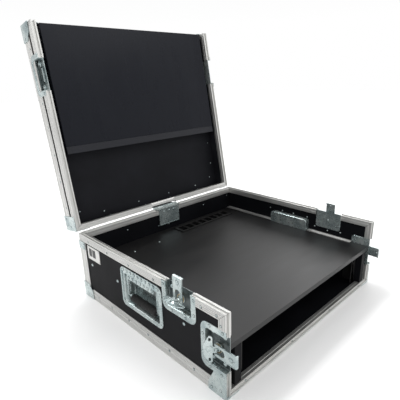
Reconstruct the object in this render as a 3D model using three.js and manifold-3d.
// Road case for 19-inch equipment: a shallow base with a two-unit rack bay under a work
// surface, and a hinged lid that carries a flat monitor.
// Millimetres. +X is the right side seen from the front, -Y the front, +Z up.
// The origin is on the resting plane, below the centre of the base.

import * as THREE from "three";
import { mergeVertices } from "three/addons/utils/BufferGeometryUtils.js";
import Module from "manifold-3d";

// Driving dimensions.
const width = 580;
const depth = 518;
const baseHeight = 180;
const lidHeight = 58;
const lidOpenAngle = THREE.MathUtils.degToRad(100.5);
const hingeSetBack = 4; // hinge axis behind the rear face

const gap = 0.3; // between touching pieces
const skin = 1.8; // thickness of sheet and extrusion walls
const board = 9.8; // laminated plywood panels
const angleFlange = 30; // edge angle extrusion

const rimFace = 14; // rim extrusion on the mating edges
const rimWeb = 5;
const rimOuterFlange = 18;
const rimInnerFlange = 15;
const tongueNear = 5; // tongue and groove, measured in from the outer face
const tongueFar = 9;
const tongueHeight = 3;
const grooveMargin = 1;
const grooveDepth = 3.6;

const surfaceTop = 111;
const surfaceThickness = 11;
const rackOpening = 450;
const rackUnit = 44.45;
const postWidth = 18;
const postInner = 246;

// Places that the pieces share.
const side = width / 2;
const front = -depth / 2;
const rear = depth / 2;
const boardOuter = skin + gap; // panel faces, measured in from the outer face
const boardInner = boardOuter + board;
const floorTop = boardInner;
const hingeY = rear + hingeSetBack;

// Twist latches, measured from the mating plane and from the latch's middle.
const latch = {
  plateHalf: 49,
  plateLength: 63,
  plateCorner: 16,
  dishHalf: 38,
  dishLength: 51,
  spindle: -26,
  travel: 9,
  swing: 3.7,
  middleBehindFront: 124,
  middleHeight: 95,
};
const dishBack = boardInner;
const keeper = { plateLength: 46, dishLength: 38, middle: depth - latch.middleBehindFront };

const handle = {
  rearBehindFront: 313,
  frontBehindFront: 185,
  low: 65,
  high: 144,
  depth: 27,
  plateRearBehindFront: 326,
  plateFrontBehindFront: 176,
  plateLow: 57,
  plateHigh: 157,
  plateCorner: 14,
};

// Slotted cover over the cable slot: its edges, its slots and their spacing.
const vent = {
  left: 5,
  right: 230,
  frontBehindFront: 446,
  rearBehindFront: 492,
  slots: 8,
  pitch: 26.5,
  slotHalf: 10,
  margin: 9,
  thickness: 2.7,
};

const hingeRoomHalf = 46.5; // half the width that the rims leave free for the hinge

const wasm = await Module();
wasm.setup();

// ---------------------------------------------------------------- shapes and booleans

function toSolid(geometry) {
  const bare = geometry.clone();
  bare.deleteAttribute("normal");
  bare.deleteAttribute("uv");
  const merged = mergeVertices(bare, 1e-4);
  return new wasm.Manifold(
    new wasm.Mesh({
      numProp: 3,
      vertProperties: new Float32Array(merged.attributes.position.array),
      triVerts: new Uint32Array(merged.index.array),
    }),
  );
}

function toGeometry(solid) {
  const mesh = solid.getMesh();
  const geometry = new THREE.BufferGeometry();
  geometry.setAttribute("position", new THREE.BufferAttribute(mesh.vertProperties, 3));
  geometry.setIndex(new THREE.BufferAttribute(mesh.triVerts, 1));
  geometry.computeVertexNormals();
  return geometry;
}

function join(...geometries) {
  return toGeometry(geometries.map(toSolid).reduce((whole, piece) => whole.add(piece)));
}

function cut(body, ...tools) {
  return toGeometry(tools.map(toSolid).reduce((left, tool) => left.subtract(tool), toSolid(body)));
}

// A box between two values on each axis, given in either order.
function block(x0, x1, y0, y1, z0, z1) {
  const box = new THREE.BoxGeometry(Math.abs(x1 - x0), Math.abs(y1 - y0), Math.abs(z1 - z0));
  return box.translate((x0 + x1) / 2, (y0 + y1) / 2, (z0 + z1) / 2);
}

// A straight-sided outline from a list of corners.
function outline(corners) {
  return new THREE.Shape(corners.map(([u, v]) => new THREE.Vector2(u, v)));
}

// A rectangle with rounded corners: the radii go counter-clockwise from the low corner.
function roundedOutline(u0, u1, v0, v1, [r0, r1, r2, r3]) {
  const shape = new THREE.Shape();
  shape.moveTo(u0 + r0, v0);
  shape.lineTo(u1 - r1, v0);
  if (r1) shape.absarc(u1 - r1, v0 + r1, r1, -Math.PI / 2, 0);
  shape.lineTo(u1, v1 - r2);
  if (r2) shape.absarc(u1 - r2, v1 - r2, r2, 0, Math.PI / 2);
  shape.lineTo(u0 + r3, v1);
  if (r3) shape.absarc(u0 + r3, v1 - r3, r3, Math.PI / 2, Math.PI);
  shape.lineTo(u0, v0 + r0);
  if (r0) shape.absarc(u0 + r0, v0 + r0, r0, Math.PI, Math.PI * 1.5);
  return shape;
}

function extrude(shape, length) {
  return new THREE.ExtrudeGeometry(shape, { depth: length, bevelEnabled: false, curveSegments: 5 });
}

// An outline in (y, z), run along X.
function alongX(shape, x0, x1) {
  const yzToX = new THREE.Matrix4().set(0, 0, 1, x0, 1, 0, 0, 0, 0, 1, 0, 0, 0, 0, 0, 1);
  return extrude(shape, x1 - x0).applyMatrix4(yzToX);
}

// An outline in (x, z), run along Y.
function alongY(shape, y0, y1) {
  return extrude(shape, y1 - y0).rotateX(Math.PI / 2).translate(0, y1, 0);
}

// An outline in (x, y), run along Z.
function alongZ(shape, z0, z1) {
  return extrude(shape, z1 - z0).translate(0, 0, z0);
}

function rodAlongX(radius, x0, x1, y, z, sides = 16) {
  const rod = new THREE.CylinderGeometry(radius, radius, x1 - x0, sides);
  return rod.rotateZ(Math.PI / 2).translate((x0 + x1) / 2, y, z);
}

function rodAlongY(radius, y0, y1, x, z, sides = 12) {
  const rod = new THREE.CylinderGeometry(radius, radius, y1 - y0, sides);
  return rod.translate(x, (y0 + y1) / 2, z);
}

function rodAlongZ(radius, z0, z1, x, y, sides = 16) {
  const rod = new THREE.CylinderGeometry(radius, radius, z1 - z0, sides);
  return rod.rotateX(Math.PI / 2).translate(x, y, (z0 + z1) / 2);
}

// A U between two insets from the two sides and the closed end, open at `mouth`.
function uOutline(outer, inner, closedEnd, mouth) {
  const inward = Math.sign(mouth - closedEnd);
  const outerEnd = closedEnd + inward * outer;
  const innerEnd = closedEnd + inward * inner;
  return outline([
    [-side + outer, mouth],
    [-side + outer, outerEnd],
    [side - outer, outerEnd],
    [side - outer, mouth],
    [side - inner, mouth],
    [side - inner, innerEnd],
    [-side + inner, innerEnd],
    [-side + inner, mouth],
  ]);
}

// An L between two insets from a front and a top edge, seen from the side.
function lOutline(outer, inner, foot, tail, top) {
  const down = Math.sign(foot - top);
  return outline([
    [front + outer, foot],
    [front + outer, top + down * outer],
    [tail, top + down * outer],
    [tail, top + down * inner],
    [front + inner, top + down * inner],
    [front + inner, foot],
  ]);
}

// ---------------------------------------------------------------- materials

function finish(color, roughness, metalness) {
  return () => new THREE.MeshStandardMaterial({ color, roughness, metalness });
}

const laminate = finish(0x28282b, 0.75, 0);
const aluminium = finish(0xbcbcb8, 0.35, 0.9);
const zinc = finish(0x9fb0ad, 0.35, 0.95);
const surfaceLaminate = finish(0x1b1b1e, 0.25, 0);
const blackSteel = finish(0x151517, 0.5, 0.3);
const rubber = finish(0x141414, 0.85, 0);
const monitorShell = finish(0x2b2d33, 0.6, 0);
const monitorGlass = finish(0x15171c, 0.35, 0);

function add(group, name, geometry, material) {
  const mesh = new THREE.Mesh(geometry, material());
  mesh.name = name;
  group.add(mesh);
  return mesh;
}

// ---------------------------------------------------------------- panels of the base

// Wall on the left side, with its openings for the handle and the two latches.
function sideWall() {
  const clear = 1; // openings reach past the faces they cut
  const outerX = -side + boardOuter;
  const innerX = -side + boardInner;
  const top = baseHeight - rimWeb - gap;
  const panel = block(outerX, innerX, front + rimWeb + gap, rear - boardOuter, floorTop + gap, top);
  const latchY = front + latch.middleBehindFront;
  const reach = latch.dishHalf + gap;
  return cut(
    panel,
    block(
      outerX - clear, innerX + clear,
      front + handle.frontBehindFront - gap, front + handle.rearBehindFront + gap,
      handle.low - gap, handle.high + gap,
    ),
    block(
      outerX - clear, innerX + clear,
      latchY - reach, latchY + reach,
      baseHeight - latch.dishLength - gap, top + clear,
    ),
    block(
      outerX - clear, innerX + clear,
      front, front + latch.dishLength + gap,
      latch.middleHeight - reach, latch.middleHeight + reach,
    ),
  );
}

function floorPanel() {
  const reach = side - boardOuter;
  return block(-reach, reach, front + rimWeb + gap, rear - boardOuter, boardOuter, floorTop);
}

function rearWall() {
  const reach = side - boardInner - gap;
  return block(
    -reach, reach, rear - boardInner, rear - boardOuter, floorTop + gap, baseHeight - rimWeb - gap,
  );
}

// ---------------------------------------------------------------- rims of the base

// The room that a latch's face plate needs in the rim's outer flange.
function latchPlateRoom(middle, zLow, zHigh) {
  const reach = latch.plateHalf + gap;
  const inward = side - boardOuter;
  return [-1, 1].map((sign) =>
    block(sign * inward, sign * (side + gap), middle - reach, middle + reach, zLow, zHigh),
  );
}

// Rim along the rear and back parts of both sides, up to the lid latches.
function baseRimRear() {
  const mouth = front + latch.middleBehindFront + latch.dishHalf + gap;
  const roomDepth = knuckle.radius + 2.5;
  const hingeRoom = block(
    -hingeRoomHalf, hingeRoomHalf, rear - 0.8, rear + 1, baseHeight - roomDepth, baseHeight + 1,
  );
  const strapRoom = block(
    -hingeRoomHalf, hingeRoomHalf, rear - rimFace - 1, rear + 1, baseHeight, baseHeight + tongueHeight + 1,
  );
  const rim = join(
    alongZ(uOutline(0, rimFace, rear, mouth), baseHeight - rimWeb, baseHeight),
    alongZ(uOutline(0, skin, rear, mouth), baseHeight - rimOuterFlange, baseHeight),
    alongZ(uOutline(rimFace - skin, rimFace, rear, mouth), baseHeight - rimInnerFlange, baseHeight),
    alongZ(uOutline(tongueNear, tongueFar, rear, mouth), baseHeight - 1, baseHeight + tongueHeight),
  );
  const roomLow = baseHeight - latch.plateLength - gap;
  const plateRoom = latchPlateRoom(front + latch.middleBehindFront, roomLow, baseHeight + 1);
  return cut(rim, hingeRoom, strapRoom, ...plateRoom);
}

// Mitred rim round the upper front corner on the left, between the lid latch and the front latch.
function baseRimFront() {
  const tail = front + latch.middleBehindFront - latch.dishHalf - gap;
  const foot = latch.middleHeight + latch.dishHalf + gap;
  const plateTop = latch.middleHeight + latch.plateHalf + gap;
  const layer = (outer, inner, x0, x1) =>
    alongX(lOutline(outer, inner, foot, tail, baseHeight), -side + x0, -side + x1);
  const rim = join(
    layer(0, rimWeb, 0, rimFace),
    layer(0, rimOuterFlange, 0, skin),
    layer(0, rimInnerFlange, rimFace - skin, rimFace),
    layer(-tongueHeight, 1, tongueNear, tongueFar),
  );
  const roomLow = baseHeight - latch.plateLength - gap;
  const roomRear = front + latch.plateLength + gap;
  const lidPlateRoom = latchPlateRoom(front + latch.middleBehindFront, roomLow, baseHeight + 1)[0];
  const frontPlateRoom = block(-side - 1, -side + boardOuter, front - 1, roomRear, foot - 1, plateTop);
  return cut(rim, lidPlateRoom, frontPlateRoom);
}

// Sill under the rack bay, with the short uprights that end at the front latches.
function frontSill() {
  const top = latch.middleHeight - latch.dishHalf - gap;
  const plateLow = latch.middleHeight - latch.plateHalf - gap;
  const layer = (outer, inner, y0, y1) => alongY(uOutline(outer, inner, 0, top), front + y0, front + y1);
  const rim = join(
    layer(0, rimFace, 0, rimWeb),
    layer(0, skin, 0, rimOuterFlange),
    layer(rimFace - skin, rimFace, 0, rimInnerFlange),
    layer(tongueNear, tongueFar, -tongueHeight, 1),
  );
  const roomRear = front + latch.plateLength + gap;
  const plateRoom = [-1, 1].map((sign) =>
    block(sign * (side - boardOuter), sign * (side + 1), front - 1, roomRear, plateLow, top + 1),
  );
  return cut(rim, ...plateRoom);
}

const baseCornerLeg = 42; // length of the bottom ball corners' legs

// Edge angles round the bottom, joined to the upright angles on the two rear corners.
function baseAngleFrame() {
  const mouth = front + rimOuterFlange + gap;
  const cornerFoot = baseCornerLeg + gap; // room for the ball corners' feet
  const uprightTop = baseHeight - rimOuterFlange - gap;
  const uprights = [-1, 1].flatMap((sign) => [
    block(sign * side, sign * (side - skin), rear - angleFlange, rear, 0, uprightTop),
    block(sign * side, sign * (side - angleFlange), rear - skin, rear, 0, uprightTop),
  ]);
  const frame = join(
    alongZ(uOutline(0, angleFlange, rear, mouth), 0, skin),
    alongZ(uOutline(0, skin, rear, mouth), 0, angleFlange),
    ...uprights,
  );
  const rooms = [-1, 1].map((sign) =>
    block(sign * (side - cornerFoot), sign * (side + 1), rear - cornerFoot, rear + 1, -1, skin + gap),
  );
  return cut(frame, ...rooms);
}

// ---------------------------------------------------------------- corner fittings

const cornerProud = 1.8; // thickness of the pressed corners, outside the extrusions

// Leg outline of a pressed corner: an L with a sloped inside edge, from the corner outwards.
function cornerLeg(alongLow, alongHigh, legWidth) {
  const fillet = 6;
  return outline([
    [-cornerProud, -cornerProud],
    [alongLow, -cornerProud],
    [alongLow, legWidth - fillet],
    [alongLow - fillet, legWidth],
    [legWidth + fillet, legWidth],
    [legWidth, legWidth + fillet],
    [legWidth, alongHigh - fillet],
    [legWidth - fillet, alongHigh],
    [-cornerProud, alongHigh],
  ]);
}

// A ball corner in the corner at the origin: its three legs run along +X, +Y and +Z.
function ballCorner(legLength, legWidth, ballRadius) {
  const legs = cornerLeg(legLength, legLength, legWidth);
  const near = -cornerProud;
  const ball = new THREE.SphereGeometry(ballRadius, 20, 14);
  const centre = ballRadius - cornerProud - 1.2;
  ball.translate(centre, centre, centre);
  const body = join(
    alongX(legs, near, -gap / 2),
    alongZ(legs, near, -gap / 2),
    extrude(legs, cornerProud - gap / 2).rotateX(Math.PI / 2).translate(0, -gap / 2, 0),
    ball,
  );
  const far = legLength + 100;
  return cut(body, block(-gap / 2, far, -gap / 2, far, -gap / 2, far));
}

// Turns a corner made at the origin so that its legs run along the three given directions.
function placeCorner(geometry, at, [dirX, dirY, dirZ]) {
  const solid = geometry.clone().scale(dirX, dirY, dirZ);
  if (dirX * dirY * dirZ < 0) {
    const index = solid.index.array;
    for (let i = 0; i < index.length; i += 3) {
      [index[i + 1], index[i + 2]] = [index[i + 2], index[i + 1]];
    }
  }
  return solid.translate(...at);
}

// Left ball corner at the bottom rear. Its foot is level with the angle's underside.
function baseBallCorner() {
  const leg = baseCornerLeg;
  const corner = placeCorner(ballCorner(leg, angleFlange, 15), [-side, rear, 0], [1, -1, 1]);
  const below = block(-side - 20, 0, 0, rear + 20, -20, 0);
  const foot = block(-side - 1, -side + leg, rear + 1, rear - leg, 0, skin);
  return join(cut(corner, below), foot);
}

// Flat bracket on the lower front corner of the left side, with a toe along the sill.
function frontBracket() {
  const nose = front - skin;
  const face = -side - gap / 2;
  const foot = front + 44;
  const head = front + 24;
  const height = 60;
  const toe = 34;
  const shape = outline([
    [nose, 0],
    [foot, 0],
    [foot, 17],
    [head + 6, height - 12],
    [head, height],
    [nose, height],
  ]);
  return join(
    alongX(shape, -side - skin, face),
    block(-side - skin, -side + toe, nose, front - gap / 2, 0, tongueNear - gap),
  );
}

// ---------------------------------------------------------------- work surface and rack bay

const surfaceSetBack = 2.5; // front edge of the surface and posts, behind the front plane

function workSurface() {
  const reach = side - boardInner - gap;
  const low = surfaceTop - surfaceThickness;
  const panel = block(-reach, reach, front + surfaceSetBack, rear - boardInner - gap, low, surfaceTop);
  const handleRooms = [-1, 1].map((sign) =>
    block(
      sign * (side - handle.depth - gap), sign * side,
      front + handle.frontBehindFront - gap, front + handle.rearBehindFront + gap,
      low - 1, surfaceTop + 1,
    ),
  );
  const inset = vent.margin - 2; // the cover's slots stay inside the cable slot
  const cableSlot = block(
    vent.left + vent.margin, vent.right - vent.margin,
    front + vent.frontBehindFront + inset, front + vent.rearBehindFront - inset,
    low - 1, surfaceTop + 1,
  );
  return cut(panel, ...handleRooms, cableSlot);
}

// Slotted cover over the cable slot at the back of the surface.
function ventStrip() {
  const y0 = front + vent.frontBehindFront;
  const y1 = front + vent.rearBehindFront;
  const firstSlot = (vent.left + vent.right - vent.pitch * (vent.slots - 1)) / 2;
  const rim = roundedOutline(vent.left, vent.right, y0, y1, [3, 3, 3, 3]);
  const plate = alongZ(rim, surfaceTop + gap, surfaceTop + gap + vent.thickness);
  const openings = Array.from({ length: vent.slots }, (_, i) => {
    const x = firstSlot + vent.pitch * i;
    return block(
      x - vent.slotHalf, x + vent.slotHalf, y0 + vent.margin, y1 - vent.margin,
      surfaceTop - 1, surfaceTop + 5,
    );
  });
  return cut(plate, ...openings);
}

// Small angle between the surface and a side wall.
function surfaceStrip(y0, y1) {
  const strip = { width: 12, height: 3.5, thickness: 1.5 };
  const outerX = -side + boardInner + gap;
  const low = surfaceTop + gap;
  return join(
    block(outerX, outerX + strip.width, y0, y1, low, low + strip.thickness),
    block(outerX, outerX + strip.thickness, y0, y1, low, low + strip.height),
  );
}

// Board that carries a rack rail, stepped over the sill.
function rackPost() {
  const y0 = front + surfaceSetBack;
  const y1 = y0 + 70;
  const shape = outline([
    [y0, rimFace + gap],
    [front + rimInnerFlange + gap, rimFace + gap],
    [front + rimInnerFlange + gap, floorTop + gap],
    [y1, floorTop + gap],
    [y1, surfaceTop - surfaceThickness - gap],
    [y0, surfaceTop - surfaceThickness - gap],
  ]);
  return alongX(shape, -postInner - postWidth, -postInner);
}

// Square-hole rack rail on the left post.
function rackRail() {
  const holeSize = 9.5;
  const holeX = -465.1 / 2; // standard spacing between the two rails' holes
  const holeOffsets = [6.35, 22.225, 38.1]; // standard places in one rack unit
  const thickness = 2;
  const face = front + 18.5;
  const low = floorTop + 1.5;
  const high = surfaceTop - surfaceThickness - gap;
  const backing = -postInner + gap;
  const rail = join(
    block(backing, -rackOpening / 2, face, face + thickness, low, high),
    block(backing, backing + thickness, face, face + 32, low, high),
  );
  const bottomOfUnits = (low + high) / 2 - rackUnit;
  const holes = [0, 1].flatMap((unit) =>
    holeOffsets.map((offset) => {
      const z = bottomOfUnits + unit * rackUnit + offset;
      return block(
        holeX - holeSize / 2, holeX + holeSize / 2, face - 1, face + 3,
        z - holeSize / 2, z + holeSize / 2,
      );
    }),
  );
  return cut(rail, ...holes);
}

// ---------------------------------------------------------------- handle

// Recessed dish on the left side, open outwards.
function handleDish() {
  const y0 = front + handle.frontBehindFront;
  const y1 = front + handle.rearBehindFront;
  const wall = 1.5;
  const plateOuter = -side + gap;
  const plateInner = -side + boardOuter - gap;
  const backX = -side + handle.depth;
  const face = roundedOutline(
    front + handle.plateFrontBehindFront, front + handle.plateRearBehindFront,
    handle.plateLow, handle.plateHigh,
    Array(4).fill(handle.plateCorner),
  );
  const well = block(plateOuter - 1, backX - wall, y0 + wall, y1 - wall, handle.low + wall, handle.high - wall);
  return cut(
    join(
      alongX(face, plateOuter, plateInner),
      block(plateInner - 0.5, backX, y0, y1, handle.low, handle.high),
    ),
    well,
  );
}

const bail = { axisX: -side + 9, axisZ: 134, rod: 3.5, barDrop: 52, bar: 8 };

// Bail with a rubber-covered bar, made at its pivot axis, hanging down.
function handleGrip() {
  const armInset = 8; // arms, in from the ends of the dish
  const hubHalf = 4.5;
  const y0 = front + handle.frontBehindFront + armInset;
  const y1 = front + handle.rearBehindFront - armInset;
  const arm = (y) => rodAlongZ(bail.rod, -bail.barDrop, 0, 0, y, 12);
  const hub = (y) => rodAlongY(bail.rod + 1.2, y - hubHalf, y + hubHalf, 0, 0, 14);
  const low = -bail.barDrop;
  return join(
    arm(y0),
    arm(y1),
    hub(y0),
    hub(y1),
    rodAlongY(bail.rod, y0 - bail.rod, y1 + bail.rod, 0, low),
    rodAlongY(bail.bar, y0 + 12, y1 - 12, 0, low, 18),
  );
}

// ---------------------------------------------------------------- latches
// Latch frame: X along the rim, +Y towards the mating part, +Z outboard from the case's face.

function latchDish() {
  const wall = 1.5;
  const { plateHalf, plateLength, plateCorner, dishHalf, dishLength } = latch;
  const face = roundedOutline(-plateHalf, plateHalf, -plateLength, -gap, [plateCorner, plateCorner, 0, 0]);
  return cut(
    join(
      alongZ(face, -skin, -gap / 2),
      block(-dishHalf, dishHalf, -dishLength, -gap, -dishBack, -skin + 0.5),
    ),
    block(-dishHalf + wall, dishHalf - wall, -dishLength + wall, 1, -dishBack + wall, 1),
  );
}

// Fork round the spindle, with the hooked lip on its end. Made in the latched position.
function latchClaw() {
  const half = 13;
  const fork = 7.5; // half the fork's opening
  const forkEnd = -16;
  const root = -37.5;
  const tip = 14.3;
  const inner = -6.2;
  const outer = -3.9;
  const lip = { thickness: 2, depth: 3.2 };
  return cut(
    join(
      block(-half, half, root, tip, inner, outer),
      block(-half, half, tip - lip.thickness, tip, inner - lip.depth, outer),
    ),
    block(-fork, fork, root - 1, forkEnd, inner - 1, outer + 1),
  );
}

const wingPinHeight = -2.3;

// Turning spindle with a lug for the wing's pin.
function latchSpindle() {
  const y = latch.spindle;
  const back = -dishBack + 1.5 + gap;
  const flange = { radius: 10, thickness: 1.6 };
  const barrel = { radius: 6.8, top: -4.2 };
  const lug = { radius: 2.2, half: 3, neck: 1.5 };
  return join(
    rodAlongZ(flange.radius, back, back + flange.thickness, 0, y, 24),
    rodAlongZ(barrel.radius, back, barrel.top, 0, y, 24),
    rodAlongX(lug.radius, -lug.half, lug.half, y, wingPinHeight, 12),
    block(-lug.half, lug.half, y - lug.neck, y + lug.neck, barrel.top - 0.4, wingPinHeight),
  );
}

// Butterfly wing, made at its pin with the wing standing straight out.
function latchWing() {
  const neck = 6.6;
  const neckEnd = -1.4;
  const half = 26;
  const reach = 23;
  const start = 6.2; // where the neck widens, clear of the claw
  const plate = new THREE.Shape();
  plate.moveTo(-neck, neckEnd);
  plate.lineTo(neck, neckEnd);
  plate.lineTo(neck, start);
  plate.lineTo(half - 5, start);
  plate.quadraticCurveTo(half, start, half, start + 6);
  plate.quadraticCurveTo(half - 2, reach - 3, 8, reach);
  plate.lineTo(-8, reach);
  plate.quadraticCurveTo(-half + 2, reach - 3, -half, start + 6);
  plate.quadraticCurveTo(-half, start, -half + 5, start);
  plate.lineTo(-neck, start);
  const thickness = 2.2;
  const lugRoom = block(-3.4, 3.4, -thickness, thickness, neckEnd - 1, 2.7);
  return cut(alongY(plate, -thickness / 2, thickness / 2), lugRoom);
}

// Puts one latch in the group that holds its latch frame. The wing starts folded by wingFold.
function addLatch(frame, name, wingFold) {
  add(frame, name + "_dish", latchDish(), zinc);
  const claw = add(frame, name + "_claw", latchClaw(), zinc);
  claw.position.set(0, latch.travel, latch.swing);
  add(frame, name + "_spindle", latchSpindle(), zinc);
  const wing = add(frame, name + "_wing", latchWing(), zinc);
  wing.position.set(0, latch.spindle, wingPinHeight);
  wing.rotation.x = wingFold;
}

// Keeper half on the lid: face plate, dish, and the bar that the claw hooks over.
// Same frame, with the dish running towards -Y from the mating plane.
function latchKeeper() {
  const wall = 1.5;
  const { plateHalf, dishHalf } = latch;
  const corner = 20;
  const face = roundedOutline(-plateHalf, plateHalf, -keeper.plateLength, -gap, [corner, corner, 5, 5]);
  const dish = cut(
    join(
      alongZ(face, gap / 2, skin),
      block(-dishHalf, dishHalf, -keeper.dishLength, -gap, -dishBack, gap),
    ),
    block(-dishHalf + wall, dishHalf - wall, -keeper.dishLength + wall, 1, -dishBack + wall, 5),
  );
  const back = -dishBack + wall - 0.5;
  const bar = { half: 20, foot: 16, low: -12, high: -8, inner: -9.8, outer: -6.8 };
  return join(
    dish,
    block(-bar.half, bar.half, bar.low, bar.high, bar.inner, bar.outer),
    block(-bar.half, -bar.foot, bar.low, bar.high, back, bar.outer),
    block(bar.foot, bar.half, bar.low, bar.high, back, bar.outer),
  );
}

// ---------------------------------------------------------------- hinge

const knuckle = { radius: 4.5, pin: 1.8, running: 0.1 };
const hingeStrap = { half: 44, low: 0.2, high: 2 }; // over the rim, above the mating plane
const hingeLeafHalf = 38;
const baseKnuckles = [[-44, -28], [-8, 8], [28, 44]];
const lidKnuckles = [[-27.6, -8.4], [8.4, 27.6]];

// Inside leaf with a strap over the rim, its knuckles and the pin.
function hingeBaseLeaf() {
  const leafFace = rear - rimFace - gap;
  const leafLow = 130;
  const strapLow = baseHeight + hingeStrap.low;
  const strapHigh = baseHeight + hingeStrap.high;
  const barrels = baseKnuckles.flatMap(([x0, x1]) => [
    rodAlongX(knuckle.radius, x0, x1, hingeY, baseHeight, 18),
    block(x0, x1, rear - 2, hingeY, strapLow, strapHigh),
  ]);
  return join(
    block(-hingeLeafHalf, hingeLeafHalf, leafFace - skin, leafFace, leafLow, strapHigh),
    block(-hingeStrap.half, hingeStrap.half, leafFace - skin, rear - 1.2, strapLow, strapHigh),
    rodAlongX(knuckle.pin, -hingeStrap.half, hingeStrap.half, hingeY, baseHeight, 12),
    ...barrels,
  );
}

// Outside leaf on the lid's rear wall, with the knuckles between the base's.
function hingeLidLeaf() {
  const y0 = rear + 0.2;
  const y1 = rear + 2;
  const leafLow = baseHeight + 6;
  const leafHigh = baseHeight + 44;
  const tabs = lidKnuckles.flatMap(([x0, x1]) => [
    rodAlongX(knuckle.radius, x0, x1, hingeY, baseHeight, 18),
    block(x0, x1, y0, y1, baseHeight, leafLow + 2),
  ]);
  return cut(
    join(block(-hingeLeafHalf, hingeLeafHalf, y0, y1, leafLow, leafHigh), ...tabs),
    rodAlongX(knuckle.pin + knuckle.running, -45, 45, hingeY, baseHeight, 12),
  );
}

// ---------------------------------------------------------------- lid, made closed

const lidTop = baseHeight + lidHeight;
const lidRimLow = baseHeight + 0.2; // the closed rims stay just apart

// Y of a place on the closed lid, from its distance to the hinge edge.
function lidY(fromHinge) {
  return rear - fromHinge;
}

function lidPanel() {
  const reach = side - boardOuter;
  return block(
    -reach, reach, front + rimWeb + gap, rear - boardOuter, lidTop - boardInner, lidTop - boardOuter,
  );
}

function lidSideWall() {
  const outerX = -side + boardOuter;
  const innerX = -side + boardInner;
  const low = baseHeight + rimWeb + gap;
  const reach = latch.dishHalf + gap;
  return cut(
    block(outerX, innerX, front + rimWeb + gap, rear - boardOuter, low, lidTop - boardInner - gap),
    block(
      outerX - 1, innerX + 1, lidY(keeper.middle) - reach, lidY(keeper.middle) + reach,
      low - 1, baseHeight + keeper.dishLength + gap,
    ),
  );
}

function lidRearWall() {
  const reach = side - boardInner - gap;
  return block(
    -reach, reach, rear - boardInner, rear - boardOuter,
    baseHeight + rimWeb + gap, lidTop - boardInner - gap,
  );
}

// Grooved rim along the rear and the back parts of the sides, up to the keepers.
function lidRimRear() {
  const mouth = lidY(keeper.middle) + latch.dishHalf + gap;
  const roomDepth = knuckle.radius + 2.5;
  const strapRoomHeight = hingeStrap.high + 0.6;
  const hingeRoom = block(
    -hingeRoomHalf, hingeRoomHalf, rear - 0.8, rear + 1, baseHeight - 1, baseHeight + roomDepth,
  );
  const strapRoom = block(
    -hingeRoomHalf, hingeRoomHalf,
    rear - rimFace - 5, rear + 1,
    baseHeight - 1, baseHeight + strapRoomHeight,
  );
  const rim = join(
    alongZ(uOutline(0, rimFace, rear, mouth), lidRimLow, baseHeight + rimWeb),
    alongZ(uOutline(0, skin, rear, mouth), lidRimLow, baseHeight + rimOuterFlange),
    alongZ(uOutline(rimFace - skin, rimFace, rear, mouth), lidRimLow, baseHeight + rimInnerFlange),
  );
  const groove = alongZ(
    uOutline(tongueNear - grooveMargin, tongueFar + grooveMargin, rear, mouth - 1),
    baseHeight - 1, baseHeight + grooveDepth,
  );
  return cut(rim, groove, hingeRoom, strapRoom);
}

// Rim round the open front: both uprights, the panel's front edge, and the side rims' front ends.
function lidRimFront() {
  const tail = lidY(keeper.middle) - latch.dishHalf - gap;
  const layer = (outer, inner, y0, y1) =>
    alongY(uOutline(outer, inner, lidTop, lidRimLow), front + y0, front + y1);
  const sideLayer = (outer, inner, x0, x1) =>
    [-1, 1].map((sign) =>
      alongX(
        lOutline(outer, inner, lidTop - rimFace, tail, lidRimLow),
        Math.min(sign * (side - x0), sign * (side - x1)),
        Math.max(sign * (side - x0), sign * (side - x1)),
      ),
    );
  const rim = join(
    layer(0, rimFace, 0, rimWeb),
    layer(0, skin, 0, rimOuterFlange),
    layer(rimFace - skin, rimFace, 0, rimInnerFlange),
    ...sideLayer(0, rimWeb, 0, rimFace),
    ...sideLayer(0, rimOuterFlange, 0, skin),
    ...sideLayer(0, rimInnerFlange, rimFace - skin, rimFace),
  );
  const grooves = [-1, 1].map((sign) =>
    block(
      sign * (side - tongueNear + grooveMargin), sign * (side - tongueFar - grooveMargin),
      front - 1, tail + 1, baseHeight - 1, baseHeight + grooveDepth,
    ),
  );
  const frontGroove = alongY(
    uOutline(tongueNear - grooveMargin, tongueFar + grooveMargin, lidTop, baseHeight - 1),
    front - 1, front + grooveDepth,
  );
  return cut(rim, ...grooves, frontGroove);
}

// Edge angles round the left, rear and right edges of the lid panel.
function lidAngleFrame() {
  const mouth = front + rimOuterFlange + gap;
  const reach = latch.dishHalf + gap;
  const frame = join(
    alongZ(uOutline(0, angleFlange, rear, mouth), lidTop - skin, lidTop),
    alongZ(uOutline(0, skin, rear, mouth), lidTop - angleFlange, lidTop),
  );
  const keeperRooms = [-1, 1].map((sign) =>
    block(
      sign * (side - boardOuter), sign * (side + 1),
      lidY(keeper.middle) - reach, lidY(keeper.middle) + reach,
      baseHeight, baseHeight + keeper.dishLength + gap,
    ),
  );
  const leafReach = hingeLeafHalf + 0.5;
  const leafRoom = block(
    -leafReach, leafReach, rear - skin - gap, rear + 1, baseHeight, baseHeight + 44.5,
  );
  return cut(frame, ...keeperRooms, leafRoom);
}

function lidFrontCorner() {
  return placeCorner(ballCorner(40, 28, 15), [-side, front, lidTop], [1, 1, -1]);
}

// Ball corner with two upright plates that reach down to the rim.
function lidRearCorner() {
  const leg = 38;
  const faceX = -side - gap / 2;
  const faceY = rear + gap / 2;
  const foot = baseHeight + 2;
  const head = lidTop - 10;
  return cut(
    join(
      placeCorner(ballCorner(leg, angleFlange, 15), [-side, rear, lidTop], [1, -1, -1]),
      block(-side - cornerProud, faceX, rear - leg, rear + cornerProud, foot, head),
      block(-side - cornerProud, -side + leg, faceY, rear + cornerProud, foot, head),
    ),
    block(faceX, 0, 0, faceY, baseHeight, lidTop + gap / 2),
  );
}

// ---------------------------------------------------------------- monitor, in the closed lid

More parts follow.
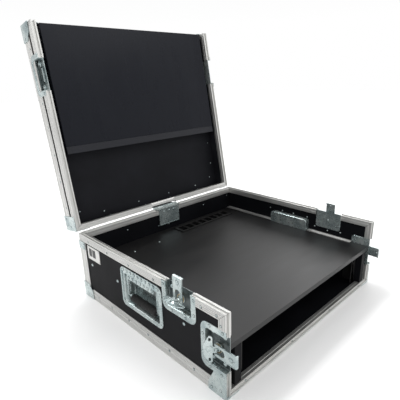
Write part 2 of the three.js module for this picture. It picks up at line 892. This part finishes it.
const monitor = {
  half: 265,
  near: 197,
  far: 515,
  chin: 19,
  face: 10,
  screenThickness: 2,
  back: 42,
  mountHalf: 60,
};

function monitorHousing() {
  const { half, near, far, chin, face, screenThickness, back, mountHalf } = monitor;
  const middle = (near + far) / 2;
  const behindScreen = baseHeight + face + screenThickness + gap;
  return join(
    block(-half, half, lidY(near), lidY(far), behindScreen, baseHeight + back),
    block(-half, half, lidY(near), lidY(near + chin), baseHeight + face, behindScreen + 1),
    block(
      -mountHalf, mountHalf,
      lidY(middle - mountHalf), lidY(middle + mountHalf),
      baseHeight + back - 1, lidTop - boardInner - gap,
    ),
  );
}

function monitorScreen() {
  const { half, near, far, chin, face, screenThickness } = monitor;
  return block(
    -half, half, lidY(near + chin + gap), lidY(far),
    baseHeight + face, baseHeight + face + screenThickness,
  );
}

// ---------------------------------------------------------------- assembly

const part = new THREE.Group();

// A group for the left side and its mirror image for the right.
function bothSides(parent, build) {
  for (const [sideName, scale] of [["left", 1], ["right", -1]]) {
    const group = new THREE.Group();
    group.scale.x = scale;
    parent.add(group);
    build(group, sideName);
  }
}

add(part, "floor_panel", floorPanel(), laminate);
add(part, "rear_wall", rearWall(), laminate);
add(part, "base_angle_frame", baseAngleFrame(), aluminium);
add(part, "base_rim_rear", baseRimRear(), aluminium);
add(part, "front_sill", frontSill(), aluminium);
add(part, "work_surface", workSurface(), surfaceLaminate);
add(part, "vent_strip", ventStrip(), blackSteel);
add(part, "hinge_base_leaf", hingeBaseLeaf(), zinc);

const frontWingFold = { left: THREE.MathUtils.degToRad(50), right: 0 };

bothSides(part, (group, name) => {
  add(group, name + "_wall", sideWall(), laminate);
  add(group, "base_rim_front_" + name, baseRimFront(), aluminium);
  add(group, "ball_corner_" + name, baseBallCorner(), zinc);
  add(group, "front_bracket_" + name, frontBracket(), zinc);
  add(group, "surface_strip_front_" + name, surfaceStrip(front + 50, front + 183), aluminium);
  add(group, "surface_strip_rear_" + name, surfaceStrip(front + 316, front + 505), aluminium);
  add(group, "rack_post_" + name, rackPost(), surfaceLaminate);
  add(group, "rack_rail_" + name, rackRail(), blackSteel);
  add(group, "handle_dish_" + name, handleDish(), zinc);
  add(group, "handle_grip_" + name, handleGrip(), rubber).position.set(bail.axisX, 0, bail.axisZ);

  const lidLatch = new THREE.Group();
  lidLatch.matrixAutoUpdate = false;
  lidLatch.matrix.makeBasis(
    new THREE.Vector3(0, -1, 0), new THREE.Vector3(0, 0, 1), new THREE.Vector3(-1, 0, 0),
  );
  lidLatch.matrix.setPosition(-side, front + latch.middleBehindFront, baseHeight);
  group.add(lidLatch);
  addLatch(lidLatch, "lid_latch_" + name, 0);

  const frontLatch = new THREE.Group();
  frontLatch.matrixAutoUpdate = false;
  frontLatch.matrix.makeBasis(
    new THREE.Vector3(0, 0, -1), new THREE.Vector3(0, -1, 0), new THREE.Vector3(-1, 0, 0),
  );
  frontLatch.matrix.setPosition(-side, front, latch.middleHeight);
  group.add(frontLatch);
  addLatch(frontLatch, "front_latch_" + name, frontWingFold[name]);
});

// The lid is made closed and turned back about the hinge axis.
const lid = new THREE.Group();
lid.position.set(0, hingeY, baseHeight);
lid.rotation.x = -lidOpenAngle;
part.add(lid);
const closedLid = new THREE.Group();
closedLid.position.set(0, -hingeY, -baseHeight);
lid.add(closedLid);

add(closedLid, "lid_panel", lidPanel(), laminate);
add(closedLid, "lid_rear_wall", lidRearWall(), laminate);
add(closedLid, "lid_rim_rear", lidRimRear(), aluminium);
add(closedLid, "lid_rim_front", lidRimFront(), aluminium);
add(closedLid, "lid_angle_frame", lidAngleFrame(), aluminium);
add(closedLid, "hinge_lid_leaf", hingeLidLeaf(), zinc);
add(closedLid, "monitor_housing", monitorHousing(), monitorShell);
add(closedLid, "monitor_screen", monitorScreen(), monitorGlass);

bothSides(closedLid, (group, name) => {
  add(group, "lid_wall_" + name, lidSideWall(), laminate);
  add(group, "lid_front_corner_" + name, lidFrontCorner(), zinc);
  add(group, "lid_rear_corner_" + name, lidRearCorner(), zinc);
  const frame = new THREE.Group();
  frame.matrixAutoUpdate = false;
  frame.matrix.makeBasis(
    new THREE.Vector3(0, 1, 0), new THREE.Vector3(0, 0, -1), new THREE.Vector3(-1, 0, 0),
  );
  frame.matrix.setPosition(-side, lidY(keeper.middle), baseHeight);
  group.add(frame);
  add(frame, "lid_keeper_" + name, latchKeeper(), zinc);
});

export default part;
